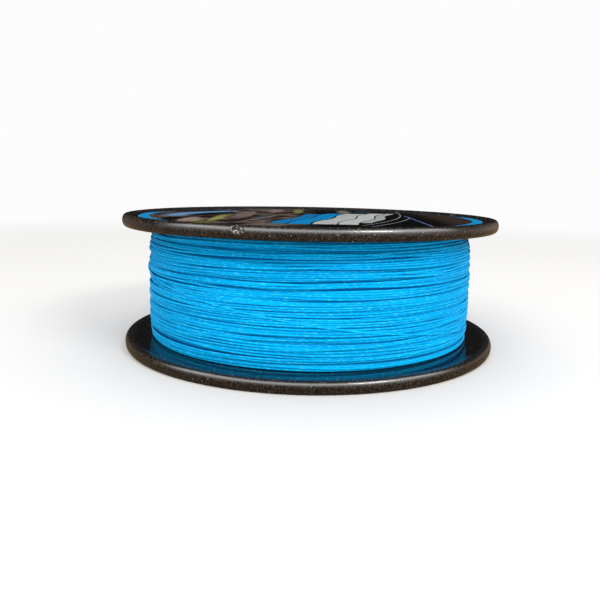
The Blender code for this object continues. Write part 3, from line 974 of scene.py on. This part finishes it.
def print_fine_lines(tree, x, y, flat, colour):
    """Two long arcs, a row of small pale ticks as long as the gaps between them, and a straight rule."""
    centre = {0: flat, 1: (*ARC_CENTRE, 0.0)}
    aside = node(tree, "ShaderNodeVectorMath", centre, operation="DISTANCE").outputs["Value"]
    for radius, half, near, far, code in ARCS:
        reach = (radius - half, radius + half)
        line = in_box(tree, aside, y, reach, (near, far), FINE_EDGE, RIBBON_END)
        colour = blend_colour(tree, line, colour, linear(code))

    lean = maths(tree, "MULTIPLY", y, -TICK_SLANT)
    beside = maths(tree, "ADD", lean, maths(tree, "ADD", x, TICK_SLANT * TICK_LOW - TICK_X))
    ticks = maths(tree, "SINE", maths(tree, "MULTIPLY", y, FULL_TURN / TICK_PITCH))
    ticks = maths(tree, "GREATER_THAN", ticks, 0.0)
    row = in_box(tree, beside, y, (-TICK_HALF, TICK_HALF), (TICK_LOW, TICK_HIGH), INK_EDGE, INK_EDGE)
    colour = blend_colour(tree, maths(tree, "MULTIPLY", ticks, row), colour, linear("#c8c6c4"))
    rule = in_box(tree, x, y, RULE_X, RULE_Y, FINE_EDGE, RIBBON_END)
    return blend_colour(tree, rule, colour, linear("#6a78b0"))


def print_streak(tree, x, y, flat, colour):
    """A soft pale blue streak, bent round the left side."""
    centre = {0: flat, 1: (*STREAK_CENTRE, 0.0)}
    around = node(tree, "ShaderNodeVectorMath", centre, operation="DISTANCE").outputs["Value"]
    streak = band(tree, around, *STREAK_RADII, STREAK_EDGE)
    streak = maths(tree, "MULTIPLY", streak, in_box(tree, x, y, STREAK_X, STREAK_Y, *STREAK_ENDS))
    return blend_colour(tree, streak, colour, linear("#6fa3cf"))


def print_edge(tree, y, flat, colour):
    """The blue ring near the edge, dark on its far side, and the white core where the cut edge is worn."""
    radius = node(tree, "ShaderNodeVectorMath", {0: flat}, operation="LENGTH").outputs["Value"]
    ring = band(tree, radius, *RING_RADII, FINE_EDGE)
    near = {0: y, 1: RING_TURNS_DARK[0], 2: RING_TURNS_DARK[1]}
    near = node(tree, "ShaderNodeMapRange", near).outputs[0]
    ink = blend_colour(tree, near, linear("#0a2a44"), linear("#119ade"))
    colour = blend_colour(tree, ring, colour, ink)
    chip = {"Vector": flat, "Scale": 1 / CHIP_SIZE, "Detail": 3.0}
    chipped = node(tree, "ShaderNodeTexNoise", chip).outputs[0]
    worn = maths(tree, "GREATER_THAN", chipped, CHIP_FREE)
    at_edge = maths(tree, "GREATER_THAN", radius, LABEL_RADIUS / MM - CUT_EDGE)
    return blend_colour(tree, maths(tree, "MULTIPLY", at_edge, worn), colour, linear("#b8baba"))


def printed_vinyl(name, turned_over):
    """Printed vinyl under a clear film.

    The eye gets strong inks on a near-black ground, a smooth shine with faint scuffs, and a
    chipped white core at the cut edge."""
    material, tree, shader = new_material(name)
    place = node(tree, "ShaderNodeTexCoord").outputs["Object"]
    to_mm = (1 / MM, -1 / MM if turned_over else 1 / MM, 1 / MM)
    in_mm = node(tree, "ShaderNodeMapping", {"Vector": place, "Scale": to_mm}).outputs[0]
    split = node(tree, "ShaderNodeSeparateXYZ", {0: in_mm})
    x, y = split.outputs[0], split.outputs[1]
    flat = node(tree, "ShaderNodeCombineXYZ", {0: x, 1: y}).outputs[0]

    colour = print_mottle(tree, x, flat)
    colour = print_patches(tree, flat, colour)
    colour = print_waves(tree, x, y, colour)
    colour = print_fine_lines(tree, x, y, flat, colour)
    colour = print_streak(tree, x, y, flat, colour)
    colour = print_edge(tree, y, flat, colour)

    scuff = {"Vector": flat, "Scale": 1 / SCUFF_SIZE, "Detail": 5.0}
    scuff = node(tree, "ShaderNodeTexNoise", scuff).outputs[0]
    roughness = node(tree, "ShaderNodeMapRange", {0: scuff, 1: 0.3, 2: 0.7, 3: 0.10, 4: 0.20}).outputs[0]
    tree.links.new(colour, shader.inputs["Base Color"])
    tree.links.new(roughness, shader.inputs["Roughness"])
    shader.inputs["IOR"].default_value = 1.49
    shader.inputs["Specular IOR Level"].default_value = 0.2
    return material


def make_label(name, cad_node, material):
    """A label as a thin disc with a small bevel round its edge."""
    low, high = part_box(cad_node)
    outline = [
        (0.0, low.z),
        (LABEL_RADIUS - LABEL_EDGE, low.z),
        (LABEL_RADIUS, low.z + LABEL_EDGE),
        (LABEL_RADIUS, high.z - LABEL_EDGE),
        (LABEL_RADIUS - LABEL_EDGE, high.z),
        (0.0, high.z),
    ]
    bm = bmesh.new()
    turn(bm, outline, FLANGE_FACETS, closed=False)
    label = finished(name, bm, material)
    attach(label, "root")
    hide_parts(cad_node)


# ---------------------------------------------------------------- the CAD nodes that stay

FLOW_SIZE = 8.33 * MM
CREPE_ACROSS = 0.25 * MM
CREPE_ALONG = 2.5 * MM
CREPE_RELIEF = 0.03 * MM


def regrind_styrene():
    """Recycled black styrene, moulded plain for the hidden core: matt, with a grey bloom and faint flow."""
    material, tree, shader = new_material("regrind_styrene")
    place = node(tree, "ShaderNodeTexCoord").outputs["Object"]
    flow = {"Vector": place, "Scale": 1 / FLOW_SIZE, "Detail": 6.0}
    flow = node(tree, "ShaderNodeTexNoise", flow).outputs[0]
    colour = blend_colour(tree, flow, linear("#1c1b1a"), linear("#3a3835"))
    tree.links.new(colour, shader.inputs["Base Color"])
    shader.inputs["Roughness"].default_value = 0.55
    shader.inputs["IOR"].default_value = 1.55
    return material


def creped_paper_tape():
    """Creped paper tape: pale tan, matt, with fine ridges across its length."""
    material, tree, shader = new_material("creped_paper_tape")
    place = node(tree, "ShaderNodeTexCoord").outputs["Object"]
    ridge = (1 / CREPE_ACROSS, 1 / CREPE_ACROSS, 1 / CREPE_ALONG)
    crepe = node(tree, "ShaderNodeMapping", {"Vector": place, "Scale": ridge}).outputs[0]
    crepe = {"Vector": crepe, "Scale": 1.0, "Detail": 3.0}
    ridges = node(tree, "ShaderNodeTexNoise", crepe).outputs[0]
    colour = blend_colour(tree, ridges, linear("#b99a68"), linear("#e0cda2"))
    relief = {"Strength": 0.5, "Distance": CREPE_RELIEF, "Height": ridges}
    relief = node(tree, "ShaderNodeBump", relief).outputs[0]
    tree.links.new(colour, shader.inputs["Base Color"])
    tree.links.new(relief, shader.inputs["Normal"])
    shader.inputs["Roughness"].default_value = 0.8
    return material


def repaint(cad_node, material):
    """Gives a CAD node a new material."""
    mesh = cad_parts[cad_node].data
    mesh.materials.clear()
    mesh.materials.append(material)


# ---------------------------------------------------------------- floor, light and surroundings

FLOOR_RADIUS = 0.60
FLOOR_FACETS = 96
FLOOR_FADE = (0.45, 0.95)  # shares of the floor's radius between which it fades


def make_floor():
    """A plain pale floor, which fades into the white surroundings at its edge."""
    bm = bmesh.new()
    bmesh.ops.create_circle(bm, cap_ends=True, segments=FLOOR_FACETS, radius=FLOOR_RADIUS)
    material, tree, shader = new_material("pale_floor")
    tree.nodes.remove(shader)
    place = node(tree, "ShaderNodeTexCoord").outputs["Object"]
    reach = node(tree, "ShaderNodeVectorMath", {0: place}, operation="LENGTH").outputs["Value"]
    fade = {0: reach, 1: FLOOR_FADE[0] * FLOOR_RADIUS, 2: FLOOR_FADE[1] * FLOOR_RADIUS}
    edge = node(tree, "ShaderNodeMapRange", fade, interpolation_type="SMOOTHSTEP").outputs[0]
    # The gloss mirrors a browner floor than the one that lights the spool from below.
    mirrored = node(tree, "ShaderNodeLightPath").outputs["Is Glossy Ray"]
    colour = blend_colour(tree, mirrored, linear("#cdcccb"), linear("#7c664f"))
    paper = node(tree, "ShaderNodeBsdfDiffuse", {"Color": colour}).outputs[0]
    clear = node(tree, "ShaderNodeBsdfTransparent").outputs[0]
    board = node(tree, "ShaderNodeMixShader", {0: edge, 1: paper, 2: clear}).outputs[0]
    tree.links.new(board, tree.nodes["Material Output"].inputs["Surface"])
    finished("floor", bm, material)


def add_softbox(name, radiance, place, size, in_reflections=True):
    """A rectangular white soft light that faces the spool. Radiance is what its face shows."""
    data = bpy.data.lights.new(name, "AREA")
    data.shape = "RECTANGLE"
    data.size, data.size_y = size
    data.energy = radiance * math.pi * size[0] * size[1]
    light = bpy.data.objects.new(name, data)
    light.location = place
    aim = Vector((0.0, 0.0, SPOOL_HEIGHT / 2)) - Vector(place)
    light.rotation_euler = aim.to_track_quat("-Z", "Y").to_euler()
    light.visible_glossy = in_reflections
    bpy.context.scene.collection.objects.link(light)


# Radiance of the room by the sine of the height above the horizon. Shiny surfaces show the lamps and
# the dark corners between them, and matt ones gather the soft light of the whole room.
ROOM_PEAK = 8.0
SHINE_FRONT = [
    (0.0, 0.3),
    (0.12, 0.7),
    (0.26, 2.2),
    (0.42, 5.5),
    (0.62, 7.6),
    (0.77, 3.2),
    (0.87, 0.7),
    (1.0, 0.15),
]
SHINE_BACK = [(0.0, 0.003), (0.1, 0.005), (0.24, 0.025), (0.6, 0.04), (1.0, 0.15)]
MATT_FRONT = [(0.0, 1.65), (0.25, 1.55), (0.5, 1.1), (0.75, 1.3), (1.0, 1.5)]
MATT_BACK = [(0.0, 0.3), (0.6, 0.9), (1.0, 1.9)]
FRONT_EDGE = (0.22, -0.15)  # where, from back to front, the room turns from dark to lit
WHITE_SEEN = 0.98  # what the camera sees behind the spool
SIDE_GLOW = 0.40  # radiance of the warm walls at both sides, low down
SIDE_COLOUR = (1.0, 0.76, 0.60)
SIDE_UNEVEN = (0.7, 1.6)  # the glow's share at the left and at the right


def room_ramp(tree, height, stops):
    """The room's grey by height, from stops of (height, radiance)."""
    shares = [(at, radiance / ROOM_PEAK) for at, radiance in stops]
    return ramp_of(tree, height, [(at, (share, share, share, 1.0)) for at, share in shares])


def side_glow(tree, x, z):
    """The warm light of the walls at both sides, stronger on the right."""
    aside = {0: maths(tree, "ABSOLUTE", x), 1: 0.3, 2: 0.8}
    aside = node(tree, "ShaderNodeMapRange", aside).outputs[0]
    uneven = {0: x, 1: -0.5, 2: 0.5, 3: SIDE_UNEVEN[0], 4: SIDE_UNEVEN[1]}
    uneven = node(tree, "ShaderNodeMapRange", uneven).outputs[0]
    low_down = node(tree, "ShaderNodeMapRange", {0: z, 1: 0.45, 2: 0.05}).outputs[0]
    glow = maths(tree, "MULTIPLY", maths(tree, "MULTIPLY", aside, uneven), low_down)
    glow = maths(tree, "MULTIPLY", glow, SIDE_GLOW / ROOM_PEAK)
    return node(tree, "ShaderNodeVectorMath", {0: SIDE_COLOUR, "Scale": glow}, operation="SCALE").outputs[0]


def make_surroundings():
    """White for the camera. Everything else sees a wide soft light above the front and a dark room behind."""
    world = bpy.data.worlds.new("studio")
    world.use_nodes = True
    bpy.context.scene.world = world
    tree = world.node_tree
    direction = node(tree, "ShaderNodeTexCoord").outputs["Generated"]
    x, y, z = node(tree, "ShaderNodeSeparateXYZ", {0: direction}).outputs
    front = {0: y, 1: FRONT_EDGE[0], 2: FRONT_EDGE[1]}
    front = node(tree, "ShaderNodeMapRange", front, interpolation_type="SMOOTHSTEP").outputs[0]
    shine = blend_colour(tree, front, room_ramp(tree, z, SHINE_BACK), room_ramp(tree, z, SHINE_FRONT))
    matt = blend_colour(tree, front, room_ramp(tree, z, MATT_BACK), room_ramp(tree, z, MATT_FRONT))
    warmed = {0: shine, 1: side_glow(tree, x, z)}
    shine = node(tree, "ShaderNodeVectorMath", warmed, operation="ADD").outputs[0]

    rays = node(tree, "ShaderNodeLightPath")
    room = blend_colour(tree, rays.outputs["Is Glossy Ray"], matt, shine)
    white = (WHITE_SEEN / ROOM_PEAK,) * 3 + (1.0,)
    shown = blend_colour(tree, rays.outputs["Is Camera Ray"], room, white)
    ground = tree.nodes["Background"]
    ground.inputs["Strength"].default_value = ROOM_PEAK
    tree.links.new(shown, ground.inputs["Color"])


# ---------------------------------------------------------------- the whole spool

bpy.context.scene.view_settings.view_transform = "Standard"

# The braid's first colour is the painted shade on each turn's flanks, and its last is the painted highlight
# on the picks.
braid = braided_polyethylene("braided_polyethylene", "#00589e", "#0086c0", "#009bd6", "#06b6ee")
# A darker copy of the same braid, painted shade for the closed body seen between the outer turns.
braid_painted_shade = braided_polyethylene("braided_polyethylene_painted_shade", "#003f78", "#005c9c", "#006cb0", "#0082c4")
black = moulded_black_styrene()

tail = make_tail(braid)
make_flange("lower_flange_moulding", "lower_flange", black, False, peg_hole_cutters())
upper_cutters = [*peg_hole_cutters(), slit_cutter(), gate_scar_cutter()]
make_flange("upper_flange_moulding", "upper_flange", black, True, upper_cutters)
make_label("upper_label_print", "upper_label", printed_vinyl("printed_vinyl_upper", False))
make_label("lower_label_print", "lower_label", printed_vinyl("printed_vinyl_lower", True))
make_winding(braid, braid_painted_shade, tail[0])
repaint("arbor_core", regrind_styrene())
repaint("starter_tape", creped_paper_tape())

make_floor()
make_surroundings()
add_softbox("bright_core", 24.0, (0.43, -0.52, 0.45), (0.30, 0.15))
add_softbox("wide_key", 5.0, (-0.18, -0.55, 0.50), (0.50, 0.20), in_reflections=False)
